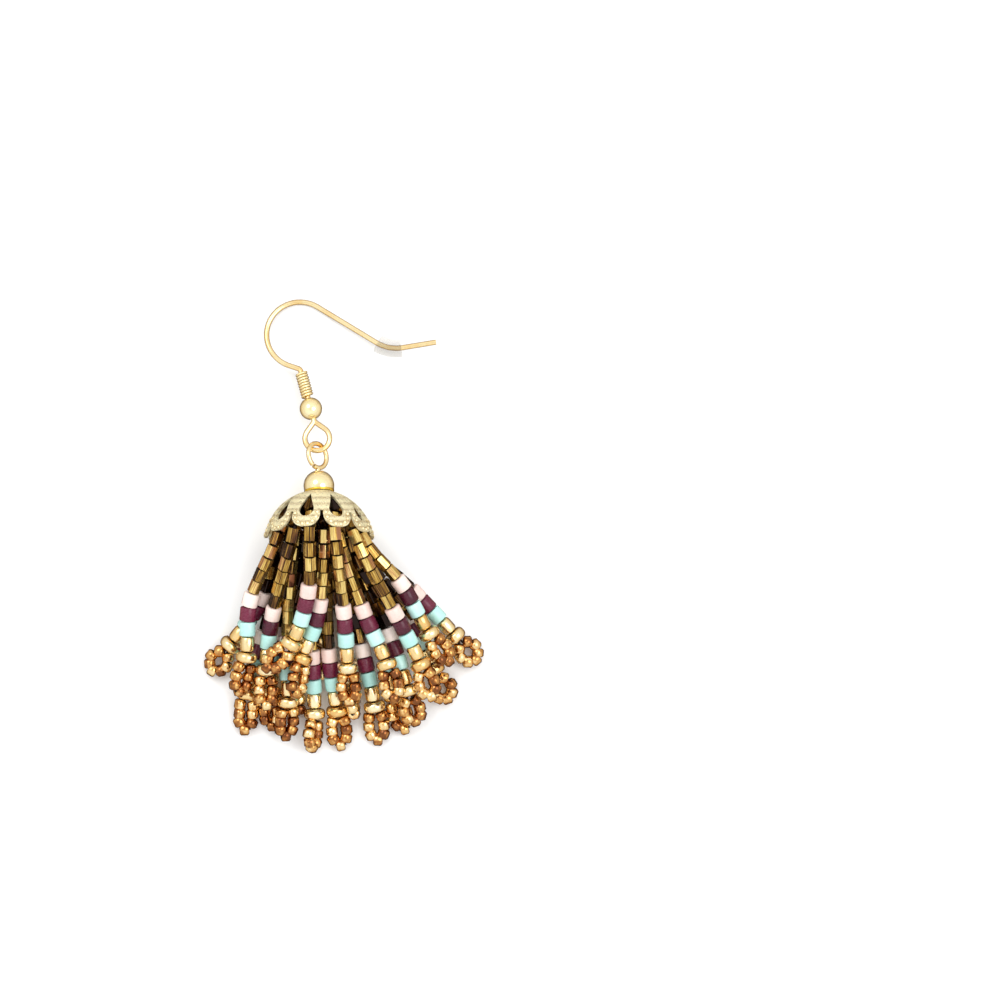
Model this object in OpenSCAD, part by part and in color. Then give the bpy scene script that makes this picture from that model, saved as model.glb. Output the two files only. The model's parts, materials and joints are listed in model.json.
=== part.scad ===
// Beaded tassel earring, lying flat as it is stored, in millimetres.
// X runs across it, Y runs up its length from the fringe to the ear wire, Z is the height over the surface.
// The origin is on the surface, under the middle of the outline.

/* [Ear wire] */
// Diameter of the ear wire
wire_d = 0.7; // [0.6:0.05:0.8]
// Straight end of the wire that goes through the ear
tail_l = 4.6; // [3.5:0.1:5]
// Radius of the slight bend under the stopper
bend_r = 5; // [4:0.1:5.2]
// Straight arm between the bend and the big arc
arm_l = 9.3; // [9:0.1:10]
// Radius of the big arc over the ear
arc_r = 4.45; // [4:0.05:5]
// Radius of the loop at the foot of the wire
loop_r = 1.65; // [1.5:0.05:1.8]

/* [Coil and ball] */
// Outer diameter of the wound coil
coil_d = 1.7; // [1.6:0.05:1.9]
// Diameter of the coil's own wire
coil_wire_d = 0.37; // [0.3:0.01:0.38]
// Turns in the coil
coil_turns = 9; // [6:1:9]
// Diameter of the ball under the coil
wire_ball_d = 3; // [2.8:0.1:3.1]

/* [Stopper] */
// Outer diameter of the clear sleeve on the bend
stopper_d = 2.4; // [2:0.1:2.8]

/* [Eye pin and ball] */
// Diameter of the eye pin's wire
eye_wire_d = 0.62; // [0.5:0.02:0.7]
// Radius of the eye, to the middle of the wire
eye_r = 1.66; // [1.6:0.02:1.8]
// Turn of the eye about its stem, in degrees
eye_turn = -45; // [-55:5:-35]
// Diameter of the ball on the cap
cap_ball_d = 4.1; // [3.9:0.1:4.1]

/* [Bead cap] */
// Outer diameter of the pierced cap
cap_d = 14.7; // [14.5:0.1:15]
// Wall of the cap
cap_wall = 0.4; // [0.35:0.05:0.5]
// Depth of the cap from its crown to the petal tips
cap_depth = 6.4; // [6:0.1:6.6]
// Width of a petal at the rim
petal_w = 3.8; // [3.7:0.05:3.9]
// Turn of the cap about its axis, in degrees
cap_turn = 4; // [0:1:8]

/* [Beads] */
// Diameter of a hex cut bead of the long run
run_d = 1.7; // [1.5:0.05:1.7]
// Diameter of a coloured tube bead
tube_d = 2.24; // [2:0.02:2.24]
// Length of a coloured tube bead
tube_l = 1.9; // [1.7:0.05:1.9]
// Diameter of the long gold bead
gold_d = 2; // [1.8:0.05:2]
// Length of the long gold bead
gold_l = 2; // [1.8:0.05:2]
// Diameter of the flat gold bead
disc_d = 3; // [2.6:0.1:3]
// Thickness of the flat gold bead
disc_l = 1.4; // [1.2:0.1:1.4]
// Diameter of a bead in the loop at a strand's end
seed_d = 1.5; // [1.3:0.05:1.5]
// Radius of a round loop, to the middle of its beads
picot_r = 1.35; // [1.3:0.05:1.35]

/* [Hidden] */
$fn = 48;
clear = 0.1;
bead_gap = 0.1;

// Middle of the outline on the layout, which the origin is put under
outline_mid = [-0.03, -0.34, 0];

// Where the frames of the wire and the cap sit on the layout: the big arc's centre and the cap's crown
arc_at = [-5.87, 25.4, 1.19];
wire_tilt = -10.8;
crown_at = [-3.2, 4.45, 5.63];
cap_tilt = 13.5;
pin_lean = 3;

// Headings along the ear wire, in its own plane and in degrees
arm_heading = -31.7;
tail_heading = 9.6;
foot_heading = -18.6;
shank_heading = -75;

// Sizes along the wire's foot
foot_l = 1.3;
kink_r = 0.5;
ball_on_shank = 5.3;
loop_neck = 1.8;
loop_drop = 2.33;
loop_lean = 5;
neck_lap = 0.15;
tail_from = 0.5;
tail_lap = 0.3;
bent_thinner = 0.02;
wire_sides = 12;
sleeve_fit = 0.06;

// Where the ball and the eye sit on the pin, from the crown of the cap
ball_lift = 0.75;
eye_lift = ball_lift + cap_ball_d / 2 + eye_wire_d / 2 + clear + eye_r;
pin_end = 2.9;
hub_r = 1.92;

// The strands start at the thread knot and pass the cap's mouth
knot_bottom = 4;
strand_start = knot_bottom + 0.2;
petals = 10;
// Flat at a petal's tip, how far a notch goes past the petals' widest line, and how far out its sides are set
tip_flat = 0.06;
notch_past = 0.45;
petal_at = 6.8;

// One row for each strand, from left to right over the fringe and then those that lie under it.
// across, up: where it passes the cap's mouth. blush: middle of its first coloured bead.
// disc: middle of its flat gold bead. aim: way its loop points, 0 down the fringe. tip: height of the
// loop's middle. roll: turn of the loop about its strand. open: half width of the loop.
// across, up, blush x, y, z, disc x, y, z, aim, tip, roll, open
STRANDS = [
    [-5.5, 1.2, -12.5, -10.7, 5.8, -12.9, -17.7, 4.8, -12, 4.4, 30, 0.85],
    [-5.6, -1.6, -11.1, -10.3, 3.6, -15.1, -16.1, 1.8, -36, 1.1, 0, 1.2],
    [-3.2, 4.9, -9.5, -12.5, 5.8, -10.3, -19.4, 4.6, 0, 4.6, 10, 0.85],
    [-1.1, 5.7, -4.6, -9, 9.9, -6.9, -15.8, 7.6, -44, 7.2, 0, 1],
    [0.8, 3.4, -3.5, -12.6, 7.1, -5.5, -17.8, 5.8, -10, 5.9, 40, 0.85],
    [-3.2, 1.8, -7.5, -14.9, 4.3, -7.4, -23.7, 3.8, -4, 2.9, 20, 0.85],
    [-4.4, -3.6, -10.9, -15.4, 1.3, -12.9, -22.7, 1.55, -4, 1.05, 0, 0.85],
    [-1.4, -0.2, -4.2, -17.8, 3.4, -3.9, -25.3, 1.7, -4, 1.9, 60, 1],
    [0.9, 0.6, -1.9, -17.4, 3.7, -0.9, -24.9, 1.7, 6, 1.2, 0, 0.9],
    [2.2, 5, 0.1, -11.7, 7.6, 0.6, -19, 5.4, 2, 4.6, 0, 0.85],
    [2.2, -1.9, 2.5, -16.7, 3.4, 4.1, -24.3, 2, 6, 1.2, 0, 0.9],
    [2.6, 2.2, 2.7, -11.5, 6.8, 5.8, -18.6, 6.2, 12, 6, 0, 0.9],
    [3.7, -0.4, 5.9, -14.1, 4.2, 8.6, -22.1, 3.9, 12, 3, 15, 1.1],
    [4.6, 3.6, 6.7, -11.4, 7.8, 10.3, -18.6, 5.8, 18, 5.4, 0, 1],
    [5.7, 1.1, 7.7, -7.9, 6.8, 11.4, -14.5, 4.8, 35, 4.2, 20, 1],
    [5.7, -1.2, 9.1, -8.7, 3.4, 14.9, -14.9, 1.8, 40, 1.1, 0, 1.2],
    [-2.8, -5, -8.9, -16.7, 1.3, -9.9, -22.3, 1.55, 3, 1.05, 0, 0.85],
    [-1, -5.6, -6.2, -15.7, 1.3, -7, -20.9, 1.55, 4, 1.05, 0, 0.85],
    [0.4, -3.6, -3, -10.3, 1.4, -2.9, -15.4, 1.55, 0, 1.05, 0, 0.85],
    [1.5, -5.4, 0.7, -15.4, 1.3, 1, -20.7, 1.55, 4, 1.8, 80, 0.9],
    [3.4, -4.8, 5.8, -17, 1.3, 6.7, -22.9, 1.55, 18, 1.05, 0, 0.85],
    [4.8, -3.2, 8.9, -13.8, 1.3, 12.1, -19.4, 1.55, 24, 1.05, 0, 1.2]
];
strand_total = len(STRANDS);

function strand_name(i) = str("strand_", i < 9 ? "0" : "", i + 1);

function unit(v) = v / norm(v);
function heading(a) = [cos(a), sin(a), 0];
function left_of(a) = [-sin(a), cos(a), 0];

// Points of the ear wire in its own plane
arm_start = arc_r * left_of(arm_heading);
arm_end = arm_start + arm_l * heading(arm_heading);
bend_mid = arm_end + bend_r * left_of(arm_heading);
tail_start = bend_mid - bend_r * left_of(tail_heading);
foot_start = -arc_r * left_of(foot_heading);
foot_end = foot_start + foot_l * heading(foot_heading);
kink_mid = foot_end - kink_r * left_of(foot_heading);
shank_start = kink_mid + kink_r * left_of(shank_heading);
wire_ball_at = shank_start + ball_on_shank * heading(shank_heading);
neck_at = wire_ball_at + loop_neck * heading(shank_heading);
loop_heading = shank_heading - loop_lean;
loop_mid = neck_at + loop_drop * heading(loop_heading);

module wire_frame() {
    translate(arc_at - outline_mid) rotate([wire_tilt, 0, 0]) children();
}

// Local Z runs from the crown of the cap to its mouth, local Y points up from the surface
module cap_frame() {
    translate(crown_at - outline_mid) rotate([90 - cap_tilt, 0, 0]) children();
}

module pin_frame() {
    cap_frame() rotate([0, pin_lean, 0]) children();
}

// Points on a bend in the wire's plane, from one angle to another
function bend(mid, r, from_a, to_a, steps) = [for (i = [0:steps])
    mid + r * heading(from_a + (to_a - from_a) * i / steps)];

// Rings of points along a line, each square to the line there. A looped line joins its end to its start.
function rings_along(line, d, sides, looped) =
    let (n = len(line))
    [for (i = [0:n - 1])
        let (
            before = looped ? line[(i + n - 1) % n] : line[max(i - 1, 0)],
            after = looped ? line[(i + 1) % n] : line[min(i + 1, n - 1)],
            way_in = before == line[i] ? unit(after - line[i]) : unit(line[i] - before),
            way_out = after == line[i] ? way_in : unit(after - line[i])
        )
        ring_about(line[i], unit(way_in + way_out), d / 2, sides)];

module ear_wire() {
    bent_d = wire_d - bent_thinner;
    side = asin(loop_r / loop_drop);
    leg = sqrt(loop_drop * loop_drop - loop_r * loop_r);
    tail_way = heading(tail_heading);
    color("gold") wire_frame() {
        translate(tail_start + tail_from * tail_way) rotate([0, 90, tail_heading])
            cylinder(d = wire_d, h = tail_l - tail_from);
        skin(rings_along(concat(
            [tail_start + (tail_from + tail_lap) * tail_way],
            bend(bend_mid, bend_r, tail_heading - 90, arm_heading - 90, 4),
            bend([0, 0, 0], arc_r, arm_heading + 90, foot_heading + 270, 16),
            bend(kink_mid, kink_r, foot_heading + 90, shank_heading + 90, 4),
            [neck_at + neck_lap * heading(shank_heading)]
        ), bent_d, wire_sides, false));
        looped_skin(rings_along(concat(
            [neck_at, neck_at + 0.4 * leg * heading(loop_heading - side)],
            bend(loop_mid, loop_r, loop_heading - 90 - side, loop_heading + 90 + side, 18),
            [neck_at + 0.4 * leg * heading(loop_heading + side)]
        ), bent_d, wire_sides, true));
    }
}

// A closed skin over rings of points that all have the same count
module skin(rings) {
    n = len(rings);
    k = len(rings[0]);
    polyhedron(
        points = [for (ring = rings) each ring],
        faces = concat(
            [for (i = [0:n - 2], j = [0:k - 1]) [i * k + j, (i + 1) * k + j, (i + 1) * k + (j + 1) % k]],
            [for (i = [0:n - 2], j = [0:k - 1]) [i * k + j, (i + 1) * k + (j + 1) % k, i * k + (j + 1) % k]],
            [[for (j = [0:k - 1]) j]],
            [[for (j = [k - 1:-1:0]) (n - 1) * k + j]]
        ),
        convexity = 4
    );
}

// A closed tube over rings of points, the last of them joined to the first
module looped_skin(rings) {
    n = len(rings);
    k = len(rings[0]);
    polyhedron(
        points = [for (ring = rings) each ring],
        faces = [for (i = [0:n - 1], j = [0:k - 1], half_face = [0, 1])
            let (a = i * k, b = (i + 1) % n * k, m = (j + 1) % k)
            half_face == 0 ? [a + j, b + j, b + m] : [a + j, b + m, a + m]],
        convexity = 4
    );
}

// A ring of points about a middle, square to a direction
function ring_about(mid, way, r, sides) =
    let (x = unit(cross(way, [0.3, 0.1, 0.95])), y = cross(way, x))
    [for (j = [0:sides - 1]) mid + r * (cos(j * 360 / sides) * x + sin(j * 360 / sides) * y)];

module wire_coil() {
    turn_steps = 12;
    r = (coil_d - coil_wire_d) / 2;
    coil_l = ball_on_shank - wire_ball_d / 2 - clear;
    rise = (coil_l - coil_wire_d) / coil_turns;
    color("gold") wire_frame() translate(shank_start) rotate([0, 90, shank_heading])
        skin([for (i = [0:coil_turns * turn_steps])
            let (a = i * 360 / turn_steps, z = clear / 2 + coil_wire_d / 2 + rise * i / turn_steps)
            ring_about(
                [r * cos(a), r * sin(a), z],
                unit([-r * sin(a), r * cos(a), rise / (2 * PI)]),
                coil_wire_d / 2, 6
            )
        ]);
}

module wire_ball() {
    color("gold") wire_frame() translate(wire_ball_at) rotate([0, 90, shank_heading]) difference() {
        sphere(d = wire_ball_d);
        cylinder(d = wire_d + 2 * clear, h = wire_ball_d + 1, center = true);
    }
}

module wire_stopper() {
    color("lightgray") wire_frame() translate(bend_mid) rotate([0, 0, arm_heading - 89])
        rotate_extrude(angle = tail_heading - arm_heading - 2) translate([bend_r, 0]) difference() {
            circle(d = stopper_d);
            circle(d = wire_d + sleeve_fit);
        }
}

module eye_pin() {
    open_from = 118;
    open_to = 128;
    color("gold") pin_frame() {
        translate([0, 0, -eye_lift]) rotate([90, 0, eye_turn]) rotate([0, 0, open_to])
            rotate_extrude(angle = 360 - open_to + open_from) translate([eye_r, 0]) circle(d = eye_wire_d);
        translate([0, 0, eye_r - eye_lift]) cylinder(d = eye_wire_d, h = pin_end + eye_lift - eye_r);
    }
}

module cap_ball() {
    color("gold") pin_frame() translate([0, 0, -ball_lift]) difference() {
        sphere(d = cap_ball_d);
        cylinder(d = eye_wire_d + 2 * clear, h = cap_ball_d + 1, center = true);
    }
}

// Outline cut between two petals: x round the cap, y from the crown to the mouth
module notch_outline() {
    petal_r = petal_w / 2;
    petal_y = cap_depth + tip_flat - petal_r;
    half_pitch = petal_at * sin(180 / petals);
    difference() {
        translate([-half_pitch, petal_y - notch_past])
            square([2 * half_pitch, petal_r + notch_past - tip_flat / 2]);
        translate([-half_pitch, petal_y]) circle(r = petal_r);
        translate([half_pitch, petal_y]) circle(r = petal_r);
    }
}

// Teardrop hole between two petals: a round foot and a point towards the crown
module hole_outline() {
    hole_r = 1;
    hole_y = 3.95;
    point_y = 1.25;
    side_x = 0.91;
    side_y = hole_y - 0.42;
    translate([0, hole_y]) circle(r = hole_r);
    polygon([[-side_x, side_y], [0, point_y], [side_x, side_y]]);
}

// Pushes an outline outwards from the cap's axis, once for each petal, from a turn given in steps
module round_cap(first) {
    for (i = [0:petals - 1])
        rotate([0, 0, 90 - cap_turn + (i + first) * 360 / petals]) translate([3, 0, 0]) rotate([90, 0, 90])
            linear_extrude(height = cap_d / 2) children();
}

module bead_cap() {
    color("khaki") cap_frame() difference() {
        translate([0, 0, cap_d / 2]) sphere(d = cap_d);
        translate([0, 0, cap_d / 2]) sphere(d = cap_d - 2 * cap_wall);
        translate([0, 0, cap_depth]) cylinder(d = cap_d + 2, h = cap_d);
        round_cap(0) notch_outline();
        round_cap(0.5) hole_outline();
        translate([0, 0, -1]) cylinder(r = hub_r, h = 3);
    }
}

module thread_knot() {
    color("saddlebrown") cap_frame() rotate_extrude() polygon([
        [0.5, 1.5], [2.2, 1.5], [5, 3], [5.2, 3.3], [5.2, knot_bottom], [0, knot_bottom],
        [0, pin_end + 0.2], [0.5, pin_end + 0.2]
    ]);
}

// A point in the cap's frame, given in the earring's frame
function from_cap(across, up, deep) = crown_at + [
    across,
    up * sin(cap_tilt) - deep * cos(cap_tilt),
    up * cos(cap_tilt) + deep * sin(cap_tilt)
];
cap_way = [0, -cos(cap_tilt), sin(cap_tilt)];

// A curve from p to q that leaves along s and comes in along t
function curve(p, s, q, t, n) = [for (i = [0:n - 1])
    let (f = i / n, l = norm(q - p), f2 = f * f, f3 = f2 * f)
    (2 * f3 - 3 * f2 + 1) * p + (f3 - 2 * f2 + f) * l * s + (3 * f2 - 2 * f3) * q + (f3 - f2) * l * t
];

function loop_half(open) = sqrt(2 * picot_r * picot_r - open * open);
function loop_reach(open) = disc_l / 2 + bead_gap + seed_d / 2 + loop_half(open);

// Way that a strand's loop points from its flat bead
function loop_way(row) =
    let (up = (row[9] - row[7]) / loop_reach(row[11]), flat = sqrt(1 - up * up))
    [sin(row[8]) * flat, -cos(row[8]) * flat, up];

// The middle line of a strand, from the thread knot to its flat bead
function strand_line(row) =
    let (
        start = from_cap(0.9 * row[0], 0.9 * row[1], strand_start),
        mouth = from_cap(row[0], row[1], cap_depth),
        blush = [row[2], row[3], row[4]],
        disc = [row[5], row[6], row[7]],
        at_mouth = unit(unit(mouth - start) + unit(blush - mouth)),
        at_blush = unit(unit(blush - mouth) + unit(disc - blush)),
        at_disc = unit(loop_way(row) + unit(disc - blush))
    )
    concat(
        curve(start, cap_way, mouth, at_mouth, 4),
        curve(mouth, at_mouth, blush, at_blush, 16),
        curve(blush, at_blush, disc, at_disc, 12),
        [disc]
    );

// Length of a line up to each of its points, measured back from its end
function back_lengths(line, i) =
    i == len(line) - 1 ? [0] :
    let (rest = back_lengths(line, i + 1)) concat([rest[0] + norm(line[i + 1] - line[i])], rest);

// Tables that give each coordinate at a distance back from the line's end
function back_tables(line) =
    let (s = back_lengths(line, 0), n = len(line))
    [for (k = [0:2]) [for (i = [n - 1:-1:0]) [s[i], line[i][k]]]];

function at(tables, d) = [lookup(d, tables[0]), lookup(d, tables[1]), lookup(d, tables[2])];

// A round piece of a strand: rows of distance back from the flat bead's middle, and diameter
module piece(tables, end_way, rows) {
    skin([for (row = rows)
        let (
            here = row[0] < 0 ? at(tables, 0) - row[0] * end_way : at(tables, row[0]),
            way = row[0] < 1 ? end_way : unit(at(tables, row[0] - 0.5) - at(tables, row[0] + 0.5))
        )
        ring_about(here, -way, row[1] / 2, 8)
    ]);
}

// The loop of small beads at a strand's end, as one oval ring
module picot(disc, way, roll, open) {
    steps = 12;
    side = unit(cross(way, [0, 0, 1]));
    flat = side * cos(roll) + cross(side, way) * sin(roll);
    half = loop_half(open);
    mid = disc + way * loop_reach(open);
    face = cross(flat, way);
    looped_skin([for (i = [0:steps - 1])
        let (
            a = i * 360 / steps,
            out = unit(open * cos(a) * way + half * sin(a) * flat),
            here = mid + half * cos(a) * way + open * sin(a) * flat
        )
        [for (j = [0:5]) here + seed_d * 0.48 * (cos(j * 60) * out + sin(j * 60) * face)]
    ]);
}

module strand(i) {
    row = STRANDS[i];
    line = strand_line(row);
    tables = back_tables(line);
    way = loop_way(row);
    end_way = unit(line[len(line) - 1] - line[len(line) - 2]);
    total = back_lengths(line, 0)[0];
    gold_from = disc_l / 2 + bead_gap;
    band_from = gold_from + gold_l + bead_gap;
    run_from = band_from + 3 * (tube_l + bead_gap);
    run_step = (total - run_from) / 5;
    color("goldenrod") translate(-outline_mid) {
        piece(tables, end_way, [[-disc_l / 2, 0.75 * disc_d], [-disc_l / 4, disc_d],
            [disc_l / 4, disc_d], [disc_l / 2, 0.75 * disc_d]]);
        picot(line[len(line) - 1], way, row[10], row[11]);
        piece(tables, end_way, [[gold_from, 0.8 * gold_d], [gold_from + gold_l / 4, gold_d],
            [gold_from + 0.75 * gold_l, gold_d], [gold_from + gold_l, 0.8 * gold_d]]);
    }
    for (k = [0:2]) {
        from = band_from + k * (tube_l + bead_gap);
        color(["paleturquoise", "purple", "mistyrose"][k]) translate(-outline_mid)
            piece(tables, end_way, [[from, tube_d], [from + tube_l, tube_d]]);
    }
    color("darkgoldenrod") translate(-outline_mid)
        piece(tables, end_way, [for (k = [0:5]) [run_from + k * run_step, run_d]]);
}

ear_wire();
wire_coil();
wire_ball();
wire_stopper();
eye_pin();
cap_ball();
bead_cap();
thread_knot();
for (i = [0:strand_total - 1])
    strand(i);
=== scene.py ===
"""Beaded tassel earring, lying flat: its beads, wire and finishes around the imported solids.

All places are in the solids' own frame. Sizes are given in millimetres and built in metres.
"""

from __future__ import annotations

import json
import logging
import math
import random
from collections.abc import Callable
from dataclasses import dataclass, field
from enum import Enum

import bmesh
import bpy
from bmesh.types import BMEdge, BMFace
from bpy.types import Material, Mesh, Node, NodeSocket, Object, World
from mathutils import Matrix, Vector

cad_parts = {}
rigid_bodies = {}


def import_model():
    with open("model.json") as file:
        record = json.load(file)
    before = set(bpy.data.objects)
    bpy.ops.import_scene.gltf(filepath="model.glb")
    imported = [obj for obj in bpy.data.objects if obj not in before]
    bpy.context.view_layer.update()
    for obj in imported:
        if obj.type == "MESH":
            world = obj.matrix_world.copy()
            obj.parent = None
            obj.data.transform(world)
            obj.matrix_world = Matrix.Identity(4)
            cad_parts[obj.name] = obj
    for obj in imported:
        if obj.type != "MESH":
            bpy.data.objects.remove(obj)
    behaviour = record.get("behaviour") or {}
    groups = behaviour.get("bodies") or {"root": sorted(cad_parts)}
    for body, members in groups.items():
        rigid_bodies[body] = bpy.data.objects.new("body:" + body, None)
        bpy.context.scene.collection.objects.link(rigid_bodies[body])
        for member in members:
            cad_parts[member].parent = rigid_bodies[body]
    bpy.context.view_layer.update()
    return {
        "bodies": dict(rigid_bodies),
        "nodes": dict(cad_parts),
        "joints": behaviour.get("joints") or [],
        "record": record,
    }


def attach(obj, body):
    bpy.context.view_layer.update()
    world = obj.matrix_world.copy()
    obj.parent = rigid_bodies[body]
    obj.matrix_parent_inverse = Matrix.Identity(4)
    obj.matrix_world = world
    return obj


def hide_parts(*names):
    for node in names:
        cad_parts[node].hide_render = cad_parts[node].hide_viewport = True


MM = 0.001
# In metres: points closer than the first are merged, and a face within the second of a plane lies in it
MERGE_M, TOUCH_M = 1e-6, 1e-7
TINT = "tint"
BODY = "root"
LOG = logging.getLogger("earring")

Color = tuple[float, float, float, float]
Point = tuple[float, float, float]
Stops = tuple[tuple[float, Color], ...]


class BeadKind(Enum):
    """The kinds of bead on a strand, by the name of the piece that holds them."""

    RUN = "bronze_runs"
    BLUSH = "blush_beads"
    PLUM = "plum_beads"
    MINT = "mint_beads"
    LONG = "long_gold_beads"
    FLAT = "flat_gold_beads"
    SEED = "loop_beads"


class Slot(Enum):
    """Material slots of the record."""

    WIRE = "gold_wire"
    CAP = "cap_gold"
    SLEEVE = "clear_silicone"
    THREAD = "thread"
    BRONZE = "bead_bronze"
    BLUSH = "bead_blush"
    PLUM = "bead_plum"
    MINT = "bead_mint"
    GOLD = "bead_gold"


class Part(Enum):
    """What is selected on a mesh, by the list that holds it."""

    FACE = "faces"
    EDGE = "edges"


class Graph:
    """The node tree of a material or of the world, built node by node."""

    REACH = {"From Min": 0.3, "From Max": 0.7}

    def __init__(self, home: Material | World) -> None:
        """Starts with an empty tree.

        Args:
            home: the new material or world.
        """
        home.use_nodes = True
        self.home, self.tree = home, home.node_tree
        self.tree.nodes.clear()

    def add(self, kind: str, inputs: dict | None = None, **settings: object) -> Node:
        """Adds a node.

        Args:
            kind: the node's type, without the words ShaderNode.
            inputs: socket name or number to a value, or to another node's output.
            **settings: properties of the node itself.

        Returns:
            The new node.
        """
        node = self.tree.nodes.new("ShaderNode" + kind)
        for key, value in settings.items():
            setattr(node, key, value)
        for key, value in (inputs or {}).items():
            if isinstance(value, NodeSocket):
                self.tree.links.new(value, node.inputs[key])
            else:
                node.inputs[key].default_value = value
        return node

    def place(self) -> NodeSocket:
        """The place on the object, in metres."""
        return self.add("TexCoord").outputs["Object"]

    def noise(self, scale: float, detail: float) -> NodeSocket:
        """Cloudy noise over the object, by its lumps to the metre and its finer layers."""
        inputs = {"Vector": self.place(), "Scale": scale, "Detail": detail}
        return self.add("TexNoise", inputs).outputs["Fac"]

    def ramp(self, fac: NodeSocket, stops: Stops) -> NodeSocket:
        """Turns a value into a colour.

        Args:
            fac: the value.
            stops: place from 0 to 1 and colour, in order.

        Returns:
            The colour.
        """
        node = self.add("ValToRGB", {"Fac": fac})
        line = node.color_ramp.elements
        while len(line) < len(stops):
            line.new(1.0)
        for mark, (at, color) in zip(line, stops):
            mark.position, mark.color = at, color
        return node.outputs["Color"]

    def span(self, value: NodeSocket, low: float, high: float) -> NodeSocket:
        """Maps noise from its usual reach onto the span from low to high."""
        inputs = {"Value": value, **self.REACH, "To Min": low, "To Max": high}
        return self.add("MapRange", inputs).outputs["Result"]

    def worn(self, rough: float, scale: float, detail: float) -> NodeSocket:
        """A roughness that comes and goes about its middle value."""
        return self.span(self.noise(scale, detail), rough * 0.7, rough * 1.5)

    def bump(self, height: NodeSocket, strength: float, depth_mm: float) -> NodeSocket:
        """A normal bumped by a relief, with a strength from 0 to 1."""
        inputs = {"Height": height, "Strength": strength, "Distance": depth_mm * MM}
        return self.add("Bump", inputs).outputs["Normal"]

    def close(self, inputs: dict) -> Material:
        """Ends the tree in one shader.

        Args:
            inputs: sockets of the shader and their values.

        Returns:
            The finished material.
        """
        shader = self.add("BsdfPrincipled", inputs)
        self.add("OutputMaterial", {"Surface": shader.outputs["BSDF"]})
        return self.home


@dataclass(frozen=True)
class PolishedGold:
    """Bright plated wire and balls, with faint rub marks."""

    name: str
    slot: Slot
    pale: Color = (0.98, 0.8, 0.46, 1)
    deep: Color = (0.9, 0.64, 0.28, 1)
    rough: float = 0.13
    metal: float = 1.0

    def make(self) -> Material:
        """Builds the material.

        Returns:
            The material.
        """
        g = Graph(bpy.data.materials.new(self.name))
        color = g.ramp(g.noise(420, 3), ((0.35, self.deep), (0.6, self.pale)))
        rough = g.worn(self.rough, 1900, 4)
        normal = g.bump(g.noise(5200, 2), 0.12, 0.01)
        return g.close({"Base Color": color, "Metallic": self.metal, "Roughness": rough, "Normal": normal})


@dataclass(frozen=True)
class StampedGold:
    """The cap's pale gold, stamped all over with fine wavy lines."""

    name: str
    slot: Slot
    pale: Color = (1.0, 0.92, 0.6, 1)
    deep: Color = (0.4, 0.23, 0.07, 1)
    metal: float = 0.5
    line_scale: float = 400.0
    waver: float = 4.5
    waver_scale: float = 360.0
    grain: float = 0.35

    def make(self) -> Material:
        """Builds the material.

        Returns:
            The material.
        """
        g = Graph(bpy.data.materials.new(self.name))
        waves = g.add("TexWave", {
            "Vector": g.place(), "Scale": self.line_scale, "Distortion": self.waver,
            "Detail": 1.0, "Detail Scale": self.waver_scale,
        }, bands_direction="Y").outputs["Fac"]
        mixed = g.add("Math", {0: g.noise(2600, 3), 1: self.grain, 2: waves}, operation="MULTIPLY_ADD")
        relief = mixed.outputs[0]
        color = g.ramp(relief, ((0.16, self.deep), (0.44, self.pale)))
        rough = g.span(g.noise(2300, 3), 0.24, 0.38)
        normal = g.bump(relief, 0.55, 0.12)
        return g.close({"Base Color": color, "Metallic": self.metal, "Roughness": rough, "Normal": normal})


@dataclass(frozen=True)
class BeadGlass:
    """Glass beads of one colour family, each bead with its own tint.

    A sheen-streaked one has painted sheen in streaks along its bore, which follow the bead's own UV map.
    """

    name: str
    slot: Slot
    stops: Stops
    metal: float
    rough: float
    coat: float
    streak: float = 0.12
    gloss: float = 0.5
    sheen_streaked: bool = False
    sheen_stretch: Point = (70.0, 1.5, 1.0)
    sheen_shift: Point = (41.0, 23.0, 17.0)

    def make(self) -> Material:
        """Builds the material.

        Returns:
            The material.
        """
        g = Graph(bpy.data.materials.new(self.name))
        tint = g.add("Attribute", attribute_name=TINT).outputs["Fac"]
        # Streaks along the bore: painted sheen
        if self.sheen_streaked:
            around = g.add("UVMap").outputs["UV"]
            along = g.add("VectorMath", {0: around, 1: self.sheen_stretch}, operation="MULTIPLY").outputs[0]
            shifted = g.add("VectorMath", {0: tint, 1: self.sheen_shift, 2: along}, operation="MULTIPLY_ADD")
            grain = g.add("TexNoise", {"Vector": shifted.outputs[0], "Scale": 1.0, "Detail": 2.0}).outputs["Fac"]
        else:
            grain = g.noise(1300, 3)
        streaks = g.span(grain, -self.streak, self.streak)
        mixed = g.add("Math", {0: tint, 1: streaks}, operation="ADD", use_clamp=True)
        return g.close({
            "Base Color": g.ramp(mixed.outputs[0], self.stops), "Metallic": self.metal,
            "Roughness": g.worn(self.rough, 2600, 3), "Normal": g.bump(g.noise(3400, 2), 0.15, 0.02),
            "Coat Weight": self.coat, "Coat Roughness": 0.06, "Specular IOR Level": self.gloss,
        })


@dataclass(frozen=True)
class ClearSleeve:
    """The stopper's soft clear silicone."""

    name: str
    slot: Slot
    pale: Color = (0.34, 0.3, 0.22, 1)
    dull: Color = (0.22, 0.19, 0.13, 1)
    alpha: float = 0.14

    def make(self) -> Material:
        """Builds the material.

        Returns:
            The material.
        """
        g = Graph(bpy.data.materials.new(self.name))
        color = g.ramp(g.noise(500, 2), ((0.35, self.dull), (0.65, self.pale)))
        rough = g.span(g.noise(600, 2), 0.15, 0.25)
        return g.close({"Base Color": color, "Roughness": rough, "Alpha": self.alpha, "IOR": 1.4})


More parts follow.
